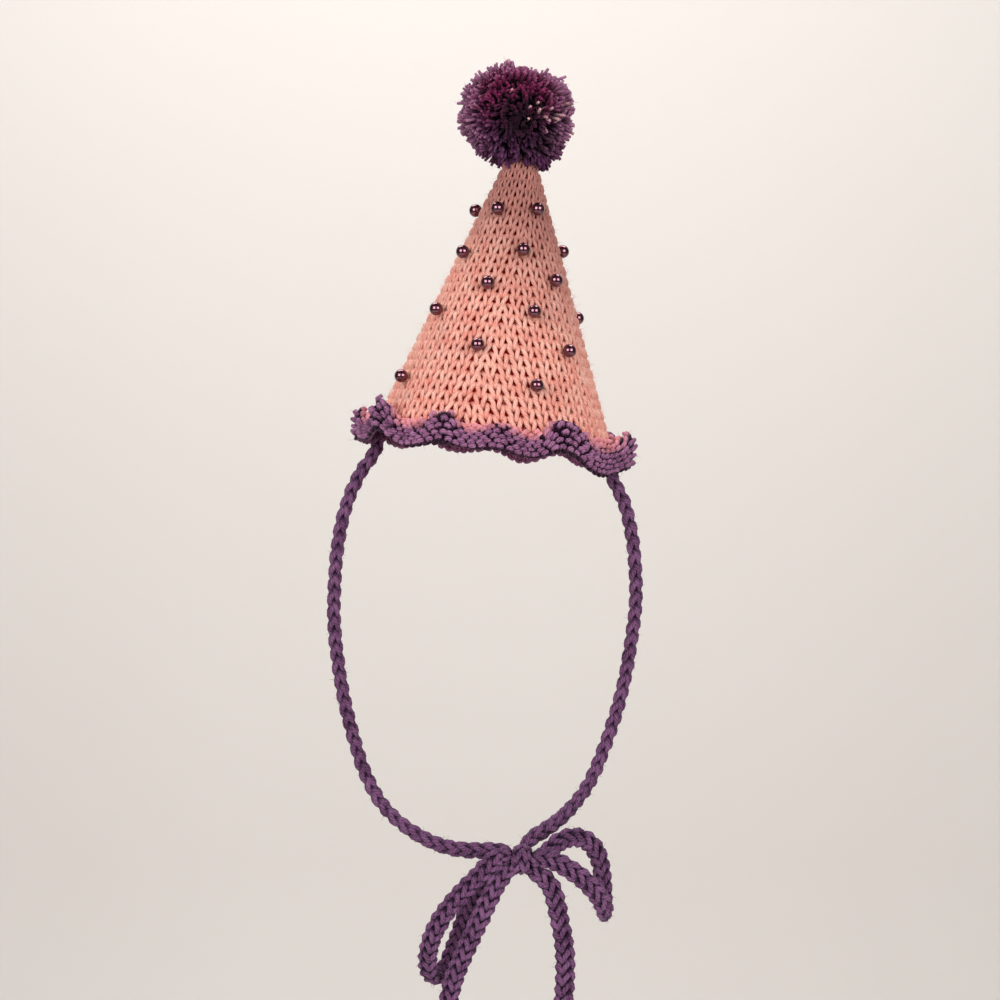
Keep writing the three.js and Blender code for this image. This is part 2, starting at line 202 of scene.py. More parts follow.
# Knitted cord: three stitches round, a little flat
CORD_STITCHES = 3
CORD_LOOP_DEPTH = 1.1
CORD_POINTS = 14
CORD_REACH = 0.74
CORD_STEP = 0.5
CORD_EASE = (0.02, 0.02, 0.05)
CORD_OVERLAP = 0.2
# Painted shade at the foot of each stitch, under the stitch before
CORD_SHADE = 0.45
CORD_CORE_SIDES = 12
CORD_CORE_INSET = 1.5
CORD_CORE_STEP = 4
ROUTE_STEPS = 24
PULLED = {"width": 8.2, "thickness": 6.8, "round": 6.2, "sway": 0.36}
SLACK = {"width": 9.4, "thickness": 6.4, "round": 4.8, "sway": 0.3}
WRAPPED = {"width": 8.6, "thickness": 5.2, "round": 4.8, "sway": 0.3}

# A cord is squeezed where the knot holds it and rounded off at its tip
KNOT_HOLD = 5
KNOT_SQUEEZE = 9
KNOT_GIRTH = 0.8
TIP_LENGTH = 5
TIP_GIRTH = 0.35
KNOT_TURNS = 1.2
KNOT_HALF_WIDTH = 1.8
KNOT_DEEP = 5.2
KNOT_HIGH = 4.4
KNOT_STEPS = 160
KNOT_CORE = 6
KNOT_CORE_ROUND = 6.6
KNOT_CORE_RINGS = 9
KNOT_CORE_SIDES = 16

# Cords: the node each stands for, its gauge, what holds its two ends, the turn its stitches
# start at, the ways its flat face looks along it, and its route along its middle
CORDS = [
    {
        "name": "cord_tie_left",
        "node": "tie_left",
        "gauge": PULLED,
        "seed": 41,
        "ends": ("hat", "knot"),
        "turn": -30,
        "faces": [(-1, 0, 0.1), (-1, 0, 0), (-1, 0, -0.3), (-0.8, -0.3, -0.8), (0, -1, -0.4)],
        "route": [
            (-50.7, 1, 5.2), (-50.9, 1, 2), (-51.8, 1, -2.5), (-54.5, 0.5, -8.5), (-58.5, -1, -14),
            (-62, -2, -20.5), (-65, -3, -28), (-67.5, -4, -37), (-69.5, -4, -48),
            (-70.8, -4, -61.5), (-71.3, -4, -75), (-70.8, -4, -88.5), (-69.2, -5, -102),
            (-66.4, -7, -117.5), (-62, -10, -134), (-56.3, -15, -150), (-49, -20, -162),
            (-40, -26, -170), (-30, -32, -175.5), (-20.5, -37, -178.5), (-11.5, -41, -179.4),
            (-3.5, -43.8, -179.2), (3.6, -45.8, -179),
        ],
    },
    {
        "name": "cord_tie_right",
        "node": "tie_right",
        "gauge": PULLED,
        "seed": 42,
        "ends": ("hat", "knot"),
        "turn": 30,
        "faces": [(1, 0, 0.1), (1, 0, 0), (1, 0, -0.3), (0.8, -0.3, -0.8), (0.3, -1, -0.4)],
        "route": [
            (50.3, -3, -5.2), (50.9, -2.6, -9), (52, -2.2, -13.5), (53.8, -2, -18.5),
            (56.2, -2, -23.5), (59, -2, -29.5), (61.2, -3, -38), (62.9, -4, -48),
            (63.9, -4, -61.5), (63.9, -4, -75), (62, -5, -90.5), (58.8, -7, -108.5),
            (54.6, -10, -124), (49.8, -14, -137), (43.6, -19, -151), (36.6, -26, -160.5),
            (30, -32.6, -166.4), (23.2, -38.4, -170.6), (15.6, -44.2, -174.8),
        ],
    },
    {
        "name": "cord_loop_left",
        "node": "bow_loop_left",
        "gauge": SLACK,
        "seed": 43,
        "ends": ("knot", "knot"),
        "turn": -30,
        "faces": [(0, -1, 0), (-0.4, -1, -0.6), (0, -1, 0.2)],
        "route": [
            (2.2, -53.9, -180.4), (-1.5, -54.8, -183.5), (-5.6, -56, -187.6), (-10, -57, -191.8),
            (-14.4, -57.5, -196.5), (-19, -57.5, -202), (-22.9, -57, -208), (-25.9, -56, -214.5),
            (-27.6, -53.5, -221.5), (-27.8, -49.5, -228.5), (-26, -44.5, -233.5),
            (-23, -39, -234.5), (-20.2, -36, -231), (-17.3, -35, -224.5), (-14.8, -35.5, -217.5),
            (-12.2, -37, -210), (-9.4, -39.5, -203), (-6.4, -42, -197), (-2.8, -44.5, -191.5),
            (1.8, -46.2, -187),
        ],
    },
    {
        "name": "cord_loop_right",
        "node": "bow_loop_right",
        "gauge": SLACK,
        "seed": 44,
        "ends": ("knot", "knot"),
        "turn": 20,
        "faces": [(0, -1, 0.2), (0.6, -0.6, -0.2), (0, -1, 0)],
        "route": [
            (21.1, -46.4, -181.4), (24.8, -46, -178.6), (29.2, -44.4, -175), (35.4, -41.6, -173.8),
            (41.4, -39, -176), (45.4, -37.5, -181.6), (47.3, -36.8, -189), (48.2, -37.5, -196.6),
            (48.8, -40.5, -202.5), (48.8, -45.5, -205.2), (48.2, -51, -203.8), (46.4, -55.5, -199),
            (42.3, -58, -193), (37.2, -58.5, -188), (31.7, -58, -184.4), (26.4, -56.2, -181.8),
            (21.2, -54, -180.8),
        ],
    },
    {
        "name": "cord_end_left",
        "node": "tie_end_left",
        "gauge": SLACK,
        "seed": 45,
        "ends": ("knot", "tip"),
        "turn": -20,
        "faces": [(0, -1, 0), (0, -1, 0)],
        "route": [
            (5.7, -53.1, -186.7), (1.6, -55.6, -192), (-1, -56.6, -197), (-3.6, -57, -202.5),
            (-6.8, -57, -209.5), (-10.1, -56.5, -216.5), (-13.1, -55.5, -223.5),
            (-16, -54.5, -231), (-18.2, -53.5, -239), (-19.6, -52.5, -249),
        ],
    },
    {
        "name": "cord_end_right",
        "node": "tie_end_right",
        "gauge": SLACK,
        "seed": 46,
        "ends": ("knot", "tip"),
        "turn": 20,
        "faces": [(0, -1, 0), (0, -1, 0)],
        "route": [
            (18.5, -50.5, -187.4), (22.4, -51, -190.2), (25.6, -51.4, -194.8), (27, -51.6, -199.8),
            (28.4, -51.6, -206.5), (29.9, -51.4, -214), (30.9, -51.2, -221.5), (31.1, -51, -229.5),
            (30.7, -51, -238), (29.8, -51, -249),
        ],
    },
]


def linear(red, green, blue):
    """A colour given from 0 to 255, as the linear values that shaders use."""
    shares = [value / 255 for value in (red, green, blue)]
    return tuple(s / 12.92 if s <= 0.04045 else ((s + 0.055) / 1.055) ** 2.4 for s in shares)


# Yarn colours. The hollow colours, the crown's rose and the pompom's plum, violet, mauve and deep
# plum are painted light and shade
PEACH = linear(255, 208, 190)
PEACH_DEEP = linear(232, 134, 118)
ROSE_PAINTED_SHADE = linear(206, 140, 130)
HOLLOW_RED_SHADE = linear(150, 22, 16)
MAUVE_PAINTED_SHEEN = linear(210, 148, 188)
PURPLE = linear(188, 128, 172)
PURPLE_DEEP = linear(80, 28, 68)
PURPLE_HOLLOW_SHADE = linear(34, 3, 28)
ROSE = linear(250, 170, 184)
CORD_PURPLE = linear(142, 96, 138)
CORD_DEEP = linear(58, 18, 56)
CORD_HOLLOW_SHADE = linear(26, 3, 30)
PLUM = linear(152, 40, 98)
PLUM_SHADE = linear(24, 2, 16)
VIOLET = linear(116, 56, 112)
PINK_END = linear(240, 184, 190)

# Sheen of the yarns' fuzz
CROWN_SHEEN = (0.9, 0.75, 0.7)
RUFFLE_SHEEN = (0.8, 0.65, 0.85)
CORD_SHEEN = (0.75, 0.65, 0.9)
POMPOM_SHEEN = (0.85, 0.5, 0.75)

# Pearls and stage
PEARL = linear(118, 20, 66)
PEARL_DEEP = linear(92, 8, 44)
PEARL_RIM = (0.3, 0.06, 0.16, 1)
STAGE_WHITE = linear(230, 226, 222)
STAGE_GREY = linear(224, 219, 214)


def operator(operation, flipped=False):
    """A method that adds one Math node for two values."""

    def method(self, other):
        values = (other, self) if flipped else (self, other)
        return self.graph.maths(operation, *values)

    return method


class Socket:
    """An output of a node. Arithmetic on it adds Math nodes, or Vector Math nodes for vectors."""

    def __init__(self, graph, socket):
        self.graph = graph
        self.socket = socket

    __add__ = operator("ADD")
    __radd__ = operator("ADD", flipped=True)
    __sub__ = operator("SUBTRACT")
    __rsub__ = operator("SUBTRACT", flipped=True)
    __mul__ = operator("MULTIPLY")
    __rmul__ = operator("MULTIPLY", flipped=True)
    __truediv__ = operator("DIVIDE")
    __mod__ = operator("MODULO")
    __pow__ = operator("POWER")


def is_vector(value):
    if isinstance(value, Socket):
        return value.socket.type == "VECTOR"
    return isinstance(value, (tuple, Vector))


def find_socket(sockets, key):
    """A node's live socket by its name, or by its place among the live ones."""
    live = [s for s in sockets if s.enabled]
    if isinstance(key, int):
        return live[key]
    return next(s for s in live if s.name == key)


class Graph:
    """A shader or Geometry Nodes tree under construction."""

    def __init__(self, tree):
        self.tree = tree

    def add(self, kind, inputs=None, output=0, **settings):
        """Adds any node: its settings first, then the values or links of its sockets."""
        node = self.tree.nodes.new(kind)
        for name, value in settings.items():
            setattr(node, name, value)
        for key, value in (inputs or {}).items():
            socket = find_socket(node.inputs, key)
            if isinstance(value, Socket):
                self.tree.links.new(value.socket, socket)
            elif socket.type == "RGBA" and len(value) == 3:
                socket.default_value = (*value, 1)
            else:
                socket.default_value = value
        return Socket(self, find_socket(node.outputs, output)) if node.outputs else None

    def sibling(self, value, output):
        """Another output of the node that a value comes from."""
        return Socket(self, find_socket(value.socket.node.outputs, output))

    def maths(self, operation, *values):
        """A Math node, or a Vector Math node where a value is a vector."""
        kind, inputs = "ShaderNodeMath", dict(enumerate(values))
        if any(is_vector(v) for v in values):
            kind = "ShaderNodeVectorMath"
            if operation == "MULTIPLY" and not all(is_vector(v) for v in values):
                vector, number = sorted(values, key=is_vector, reverse=True)
                operation, inputs = "SCALE", {0: vector, "Scale": number}
        return self.add(kind, inputs, operation=operation)

    def mix(self, share, first, second):
        """A colour between two, by share from 0 to 1."""
        inputs = {"Factor": share, "A": first, "B": second}
        return self.add("ShaderNodeMix", inputs, data_type="RGBA", clamp_factor=True)

    def between(self, value, low, high):
        """0 below low, 1 above high, and smooth in between."""
        inputs = {"Value": value, "From Min": low, "From Max": high}
        return self.add("ShaderNodeMapRange", inputs, interpolation_type="SMOOTHSTEP")

    def noise(self, vector, scale, detail=2.0, output=0):
        inputs = {"Vector": vector, "Scale": scale, "Detail": detail}
        return self.add("ShaderNodeTexNoise", inputs, output)

    def vector(self, x, y, z):
        return self.add("ShaderNodeCombineXYZ", {"X": x, "Y": y, "Z": z})

    def parts(self, vector):
        """The x, y and z of a vector."""
        x = self.add("ShaderNodeSeparateXYZ", {0: vector}, "X")
        return x, self.sibling(x, "Y"), self.sibling(x, "Z")

    def circle(self, turn, radius):
        """The two sides of a point on a circle, by its turn from the first."""
        return self.maths("COSINE", turn) * radius, self.maths("SINE", turn) * radius

    def from_mesh(self, name):
        """What the mesh stores under a name, for a shader."""
        return self.add("ShaderNodeAttribute", output="Fac", attribute_name=name)


class GeometryTree(Graph):
    """A Geometry Nodes tree with one geometry in, one out, and a named input for each size."""

    def __init__(self, name, **sizes):
        super().__init__(bpy.data.node_groups.new(name, "GeometryNodeTree"))
        face = self.tree.interface
        face.new_socket("Geometry", in_out="INPUT", socket_type="NodeSocketGeometry")
        for title, kind in sizes.items():
            title = title.replace("_", " ")
            face.new_socket(title, in_out="INPUT", socket_type="NodeSocket" + kind)
        face.new_socket("Geometry", in_out="OUTPUT", socket_type="NodeSocketGeometry")
        self.entry = self.tree.nodes.new("NodeGroupInput")

    def size(self, title):
        return Socket(self, find_socket(self.entry.outputs, title))

    def close(self, geometry):
        """Ends the tree with this geometry."""
        self.tree.links.new(geometry.socket, self.tree.nodes.new("NodeGroupOutput").inputs[0])
        return self.tree

    def painted(self, geometry, material):
        """Real geometry in one material."""
        real = self.add("GeometryNodeRealizeInstances", {0: geometry})
        return self.add("GeometryNodeSetMaterial", {0: real, "Material": material})

    def named(self, name):
        return self.add("GeometryNodeInputNamedAttribute", {"Name": name}, data_type="FLOAT")

    def store(self, geometry, name, value, data_type="FLOAT", domain="POINT"):
        inputs = {0: geometry, "Name": name, "Value": value}
        settings = {"data_type": data_type, "domain": domain}
        return self.add("GeometryNodeStoreNamedAttribute", inputs, **settings)

    def random(self, low, high, seed):
        kind = "FLOAT_VECTOR" if is_vector(low) else "FLOAT"
        inputs = {"Min": low, "Max": high, "Seed": seed}
        return self.add("FunctionNodeRandomValue", inputs, data_type=kind)

    def upright(self, count):
        """A line of so many points, one metre up from the origin."""
        line = self.add("GeometryNodeCurvePrimitiveLine", {"Start": (0, 0, 0), "End": (0, 0, 1)})
        return self.add("GeometryNodeResampleCurve", {"Curve": line, "Count": count})

    def tube(self, curve, radius, sides, scale):
        """A tube along curves, closed at its ends."""
        inputs = {"Resolution": sides, "Radius": radius}
        rim = self.add("GeometryNodeCurvePrimitiveCircle", inputs)
        inputs = {"Curve": curve, "Profile Curve": rim, "Scale": scale, "Fill Caps": True}
        return self.add("GeometryNodeCurveToMesh", inputs)

    def spin(self, curve, scale):
        """Smooth yarn along curves, with a UV map: length along, share of a turn around."""
        sides = self.size("Sides")
        tube = self.tube(curve, self.size("Yarn radius"), sides, scale)
        ring = self.add("GeometryNodeVertexOfCorner") % sides
        corner = self.add("GeometryNodeFaceOfCorner", output="Index in Face")
        far_side = self.maths("COMPARE", corner, 1.5, 0.6)
        first = self.maths("COMPARE", ring, 0.0, 0.5)
        around = (ring + sides * far_side * first) / sides
        place = self.vector(self.named("along"), around, 0.0)
        mapped = self.store(tube, "yarn", place, "FLOAT2", "CORNER")
        smoothed = self.add("GeometryNodeSetShadeSmooth", {0: mapped})
        return self.painted(smoothed, self.size("Yarn"))


def spinning_tree():
    """Turns paths of loose edges into yarn. Each point's thickness scales the yarn there."""
    tree = GeometryTree("Spin yarn", Yarn_radius="Float", Sides="Int", Yarn="Material")
    curve = tree.add("GeometryNodeMeshToCurve", {0: tree.size("Geometry")})
    return tree.close(tree.spin(curve, tree.named("thickness")))


def fibre_tree():
    """Raises short fine fibres from the yarn's surface, or from its tips only."""
    tree = GeometryTree(
        "Raise fibres",
        Fibres_per_square_metre="Float",
        Fibre_length="Float",
        Fibre_radius="Float",
        Tips_only="Float",
        Seed="Int",
        Fibre="Material",
    )
    yarn = tree.size("Geometry")
    seed = tree.size("Seed")
    length = tree.size("Fibre length")
    inner = 1 - tree.named("tip") ** 6.0
    density = tree.size("Fibres per square metre") * (1 - tree.size("Tips only") * inner)
    inputs = {0: yarn, "Density": density, "Seed": seed}
    roots = tree.add("GeometryNodeDistributePointsOnFaces", inputs)
    tilt = tree.random(tuple(-turn for turn in FIBRE_TILT), FIBRE_TILT, seed)
    inputs = {0: tree.sibling(roots, "Rotation"), 1: tilt}
    turned = tree.add("FunctionNodeRotateRotation", inputs, rotation_space="LOCAL")
    line = tree.upright(3)
    along = tree.add("GeometryNodeSplineParameter")
    bend = tree.vector(along * along * 0.45, 0.0, along * along * -0.2)
    line = tree.add("GeometryNodeSetPosition", {0: line, "Offset": bend})
    fibre = tree.tube(line, tree.size("Fibre radius") / length, 3, 1.1 - along)
    long = length * tree.random(*FIBRE_SHARES, seed)
    inputs = {"Points": roots, "Instance": fibre, "Rotation": turned, "Scale": long}
    fibres = tree.add("GeometryNodeInstanceOnPoints", inputs)
    joined = tree.add("GeometryNodeJoinGeometry", {0: tree.painted(fibres, tree.size("Fibre"))})
    tree.tree.links.new(yarn.socket, joined.socket.node.inputs[0])
    return tree.close(joined)


def pompom_tree():
    """Cut yarn standing out from a middle, evenly by the golden angle."""
    tree = GeometryTree(
        "Tie pompom",
        Strands="Int",
        Ball_radius="Float",
        Root_radius="Float",
        Flatness="Float",
        Yarn_radius="Float",
        Sides="Int",
        Seed="Int",
        Yarn="Material",
    )
    seed = tree.size("Seed")
    strands = tree.size("Strands")
    index = tree.add("GeometryNodeInputIndex")
    height = 1 - (index + 0.5) / strands * 2
    turn = index * (math.pi * (3 - math.sqrt(5)))
    even = tree.vector(*tree.circle(turn, tree.maths("SQRT", 1 - height * height)), height)
    shake = tree.random((-POMPOM_SHAKE,) * 3, (POMPOM_SHAKE,) * 3, seed)
    way = tree.maths("NORMALIZE", even + shake)
    x, y, z = tree.parts(way)
    flat = z / tree.size("Flatness")
    swell = 1.0
    for lobe in POMPOM_LOBES:
        middle = Vector((lobe["x"], lobe["y"], lobe["z"])).normalized()
        facing = tree.maths("DOT_PRODUCT", way, tuple(middle))
        away = tree.maths("ARCCOSINE", tree.maths("MINIMUM", facing, 1.0)) / lobe["width"]
        swell = swell + lobe["swell"] * tree.maths("EXPONENT", 0 - away * away)
    reach = tree.size("Ball radius") * swell / tree.maths("SQRT", x * x + y * y + flat * flat)
    reach = reach * tree.random(*STRAND_REACH, seed)
    root = tree.size("Root radius")
    points = tree.add("GeometryNodePoints", {"Count": strands})
    inputs = {
        "Points": tree.add("GeometryNodeSetPosition", {0: points, "Position": way * root}),
        "Instance": tree.upright(5),
        "Rotation": tree.add("FunctionNodeAlignRotationToVector", {"Vector": way}, axis="Z"),
        "Scale": tree.vector(1.0, 1.0, reach - root),
    }
    tufts = tree.add("GeometryNodeInstanceOnPoints", inputs)
    for title, shares in (("tone", (0.0, 1.0)), ("girth", STRAND_GIRTH)):
        tufts = tree.store(tufts, title, tree.random(*shares, seed), domain="INSTANCE")
    curves = tree.add("GeometryNodeRealizeInstances", {0: tufts})
    spline = tree.add("GeometryNodeSplineParameter", output="Factor")
    curves = tree.store(curves, "along", tree.sibling(spline, "Length") / MM)
    curves = tree.store(curves, "tip", spline)
    here = tree.add("GeometryNodeInputPosition")
    drift = tree.maths("SUBTRACT", tree.noise(here, 190.0, output="Color"), (0.5, 0.5, 0.5))
    inputs = {0: curves, "Offset": drift * (spline * spline * STRAND_DRIFT)}
    curves = tree.add("GeometryNodeSetPosition", inputs)
    blunt = 1 - tree.between(spline, 0.93, 1.04) * 0.5
    return tree.close(tree.spin(curves, (0.55 + spline * 0.5) * blunt * tree.named("girth")))


# Materials


def principled(name, surface):
    """A material with one Principled surface, whose inputs come from a graph and a place."""
    material = bpy.data.materials.new(name)
    material.use_nodes = True
    material.node_tree.nodes.clear()
    graph = Graph(material.node_tree)
    here = graph.add("ShaderNodeTexCoord", output="Object")
    shader = graph.add("ShaderNodeBsdfPrincipled", surface(graph, here))
    graph.add("ShaderNodeOutputMaterial", {"Surface": shader})
    return material


def yarn_shader(name, shade, hollow, sheen, sheen_weight=0.25):
    """Spun yarn: twisted plies and fine fibres, with painted shade where a loop lies deep in the
    knitting.
    """

    def surface(graph, here):
        along, around, _ = graph.parts(graph.add("ShaderNodeUVMap", uv_map="yarn"))
        ply = graph.maths("SINE", (along / PLY_LENGTH + around) * (TAU * PLIES)) * 0.5 + 0.5
        strand = graph.vector(along * 0.55, *graph.circle(around * TAU, 1.6))
        fibre = graph.noise(strand, 3.4, 3.0)
        patch = graph.noise(here, 160.0)
        light, dark = shade(graph, here)
        # Tone differs at random with the fibres and in patches; the grooves between plies are a
        # little darker, as painted shade
        tone = graph.between(ply, 0.0, 0.75) * 0.1 + fibre * 0.6 + patch * 0.4
        colour = graph.mix(graph.between(tone, 0.36, 0.74), dark, light)
        # Painted shade: where a loop lies deep in the knitting its yarn turns towards the hollow
        # colour
        deep = graph.between(graph.from_mesh("deep"), 0.2, 0.75)
        height = graph.maths("SQRT", ply) * 0.7 + fibre * 0.6
        bump = {"Strength": PLY_BUMP, "Distance": PLY_HEIGHT * MM, "Height": height}
        return {
            "Base Color": graph.mix(deep, colour, hollow),
            "Roughness": 0.78 + fibre * 0.2,
            "Normal": graph.add("ShaderNodeBump", bump),
            "IOR": 1.4,
            "Specular IOR Level": 0.3,
            "Sheen Weight": sheen_weight,
            "Sheen Roughness": 0.45,
            "Sheen Tint": sheen,
        }

    return principled(name, surface)


def shade_skin_shader(name, colour):
    """The matted inside of the knitting, dark with painted shade, seen only through the gaps
    between loops.
    """

    def surface(graph, here):
        fluff = graph.noise(here, 900.0, 4.0)
        bump = {"Distance": 0.5 * MM, "Height": fluff}
        return {
            "Base Color": graph.mix(fluff, tuple(0.5 * c for c in colour), colour),
            "Roughness": 0.95,
            "Normal": graph.add("ShaderNodeBump", bump),
            "Specular IOR Level": 0.1,
        }

    return principled(name, surface)


def crown_shade(graph, here):
    """Peach, turning to a rose of painted shade towards the tip and towards +X."""
    x, _, z = graph.parts(here)
    # Painted shade over the upper part and the +X side
    upper = graph.between(z + x * 0.8, 0.05, 0.12)
    light = graph.mix(upper, PEACH, ROSE_PAINTED_SHADE)
    dark = graph.mix(upper, PEACH_DEEP, tuple(0.6 * c for c in ROSE_PAINTED_SHADE))
    return light, dark


def ruffle_shade(graph, here):
    """Purple, with a rose tint where the ruffle joins the crown."""
    join = graph.from_mesh("join")
    return graph.mix(join, PURPLE, ROSE), graph.mix(join * 0.8, PURPLE_DEEP, PEACH_DEEP)


def cord_shade(graph, here):
    return CORD_PURPLE, CORD_DEEP


def pompom_shade(graph, here):
    """Painted light and shade: plum on the top, violet below, a painted sheen of mauve round the
    sides, painted shadow near black low in the front, and strands darker towards their roots.
    """

    def away(place):
        return graph.maths("DISTANCE", here, tuple(Vector(place) * MM))

    tone = graph.from_mesh("tone")
    x, _, z = graph.parts(here)
    middle = Vector(POMPOM_MIDDLE) * MM
    # Painted light on the top in plum, painted shade below in violet
    light = graph.mix(graph.between(z + tone * 0.008, 0.134, 0.158), VIOLET, PLUM)
    # Painted sheen: mauve round the sides, but not at the bottom
    wide = graph.maths("LENGTH", graph.vector(x - middle.x, 0.0, z - middle.z))
    edge = graph.between(wide + tone * 0.006, 0.017, 0.031) * graph.between(z, 0.12, 0.138)
    light = graph.mix(edge, light, MAUVE_PAINTED_SHEEN)
    # Painted shadow, near black, at two places low in the front
    near = graph.maths("MINIMUM", away(POMPOM_PAINTED_SHADOW), away(POMPOM_SHADED) + 0.004)
    lit = graph.between(near + tone * 0.005, 0.006, 0.024) * (tone * 0.4 + 0.6)
    light = graph.mix(lit, PLUM_SHADE, light)
    chance = tone + 0.05 * graph.between(0 - away(POMPOM_PINK), -0.011, -0.006)
    light = graph.mix(graph.between(chance, 0.993, 0.996), light, PINK_END)
    # Painted shade: each strand is dark away from its tip
    light = graph.mix(graph.between(graph.from_mesh("tip"), 0.72, 1.0), PLUM_SHADE, light)
    return light, graph.mix(0.6, light, PLUM_SHADE)


def pearl_shader():
    """Dark metallic plum under a clear gloss."""

    def surface(graph, here):
        cloud = graph.noise(here, 500.0)
        return {
            "Base Color": graph.mix(cloud, PEARL_DEEP, PEARL),
            "Metallic": 1.0,
            "Roughness": 0.24 + cloud * 0.06,
            "Specular Tint": PEARL_RIM,
            "Coat Weight": 1.0,
            "Coat Roughness": 0.08,
            "Coat IOR": 1.95,
        }

    return principled("pearl", surface)


def stage_shader():
    def surface(graph, here):
        return {
            "Base Color": graph.mix(graph.noise(here, 1.3, 3.0), STAGE_GREY, STAGE_WHITE),
            "Roughness": 0.9,
        }

    return principled("stage", surface)


# Knitting


def knit_loop(points, sway):
    """One stitch by its phase: how far across its width, up its round and out of the cloth."""
    phase = all_round(points)
    return phase / TAU, sway * np.sin(2 * phase), -np.cos(phase), -np.cos(2 * phase)


def lean(points):
    """From the hat's own upright frame to the way it leans."""
    x, y, z = points.T
    c, s = math.cos(HAT_LEAN), math.sin(HAT_LEAN)
    return np.stack([x * c + z * s, y, -x * s + z * c], axis=1)


def polar(radius, azimuth, height):
    """A point of the hat's frame by its azimuth from the front towards +X."""
    return np.stack([radius * np.sin(azimuth), -radius * np.cos(azimuth), height], axis=1)


def all_round(count):
    """So many turns from 0, evenly spread over a whole one."""
    return np.linspace(0, TAU, count, endpoint=False)


def unit(rows):
    """Each row as a vector of length one."""
    return rows / np.linalg.norm(rows, axis=1)[:, None]


def lengths_along(points):
    """How far along a line of points each of them lies."""
    steps = np.linalg.norm(np.diff(points, axis=0), axis=1)
    return np.concatenate([[0], np.cumsum(steps)])


def interpolated(at, places, rows):
    """Points and vectors read off between the places where they are known."""
    rows = np.array(rows, float)
    return np.stack([np.interp(at, places, rows[:, k]) for k in range(3)], axis=1)


def add_object(name, data):
    obj = bpy.data.objects.new(name, data)
    bpy.context.scene.collection.objects.link(obj)
    return obj


def path_object(name, strands):
    """Loose edges for the yarn to follow. A strand has points, ring, and values for its points."""
    points, edges, values = [], [], {}
    for strand in strands:
        start = len(points)
        count = len(strand["points"])
        points.extend(map(tuple, strand["points"] * MM))
        edges.extend((start + i, start + i + 1) for i in range(count - 1))
        if strand["ring"]:
            edges.append((start + count - 1, start))
        strand["values"]["along"] = lengths_along(strand["points"])
        for title, value in strand["values"].items():
            values.setdefault(title, []).append(np.broadcast_to(value, count))
    mesh = bpy.data.meshes.new(name)
    mesh.from_pydata(points, edges, [])
    for title, parts in values.items():
        attribute = mesh.attributes.new(title, "FLOAT", "POINT")
        attribute.data.foreach_set("value", np.concatenate(parts).astype(np.float32))
    return add_object(name, mesh)


def grow(obj, *steps):
    """Runs Geometry Nodes trees on a piece, each with its sizes, and keeps the plain mesh."""
    for tree, sizes in steps:
        modifier = obj.modifiers.new(tree.name, "NODES")
        modifier.node_group = tree
        for item in tree.interface.items_tree:
            if item.in_out == "INPUT" and item.name in sizes:
                modifier[item.identifier] = sizes[item.name]
    depsgraph = bpy.context.evaluated_depsgraph_get()
    made = obj.evaluated_get(depsgraph)
    mesh = bpy.data.meshes.new_from_object(
        made, preserve_all_data_layers=True, depsgraph=depsgraph
    )
    obj.modifiers.clear()
    obj.data = mesh
    return obj


def fibre_sizes(gauge, seed, yarn, tips_only=0.0):
    return {
        "Fibres per square metre": float(gauge["fibres"]),
        "Fibre length": gauge["fibre_length"] * MM,
        "Fibre radius": FIBRE_RADIUS * MM,
        "Tips only": tips_only,
        "Seed": seed,
        "Fibre": yarn,
    }


def knit(name, strands, gauge, yarn, seed):
    """A piece of yarn spun along its strands, with fibres raised from it."""
    sizes = {"Yarn radius": gauge["radius"] * MM, "Sides": gauge["sides"], "Yarn": yarn}
    fibres = fibre_sizes(gauge, seed, yarn)
    return grow(path_object(name, strands), (SPIN, sizes), (FIBRES, fibres))


def line_with(obj, rings, material, closed_ring=False):
    """Adds the matted inside of the knitting to a piece, dark with painted shade: a closed skin
    over rings of points.
    """
    count = len(rings[0])
    core = bpy.data.meshes.new(obj.name + "_inside")
    points = [tuple(p * MM) for ring in rings for p in ring]
    faces = []
    bands = len(rings) if closed_ring else len(rings) - 1
    for i in range(bands):
        here = i * count
        there = (i + 1) % len(rings) * count
        for j in range(count):
            k = (j + 1) % count
            faces.append((here + j, here + k, there + k, there + j))
    if not closed_ring:
        faces.append(tuple(range(count))[::-1])
        faces.append(tuple(range((len(rings) - 1) * count, len(rings) * count)))
    core.from_pydata(points, [], faces)
    obj.data.materials.append(material)
    slot = len(obj.data.materials) - 1
    work = bmesh.new()
    work.from_mesh(core)
    bmesh.ops.recalc_face_normals(work, faces=work.faces)
    for face in work.faces:
        face.smooth = True
        face.material_index = slot
    work.to_mesh(core)
    work.clear()
    work.from_mesh(obj.data)
    work.from_mesh(core)
    work.to_mesh(obj.data)
    work.free()
    bpy.data.meshes.remove(core)


def crown_radius(height):
    return MOUTH_RADIUS - height * math.tan(CONE_HALF_ANGLE)


def crown_count(knitted):
    """Stitches left in one panel after so many rounds."""
    repeats = [(r - 1) % DECREASE_REPEAT + 1 for r in range(1, knitted + 1)]
    return CROWN_STITCHES - sum(1 for r in repeats if r in DECREASE_ROUNDS)


def cone_points(azimuth, height, depth):
    """Points on the cone's surface, pushed out by depth along its normal."""
    radius = crown_radius(height) + depth * math.cos(CONE_HALF_ANGLE)
    return lean(polar(radius, azimuth, height + depth * math.sin(CONE_HALF_ANGLE)))


def crown_width(knitted):
    """How many stitches fill a panel, evenly narrowed over the rounds."""
    return CROWN_STITCHES - CROWN_NARROWING * knitted


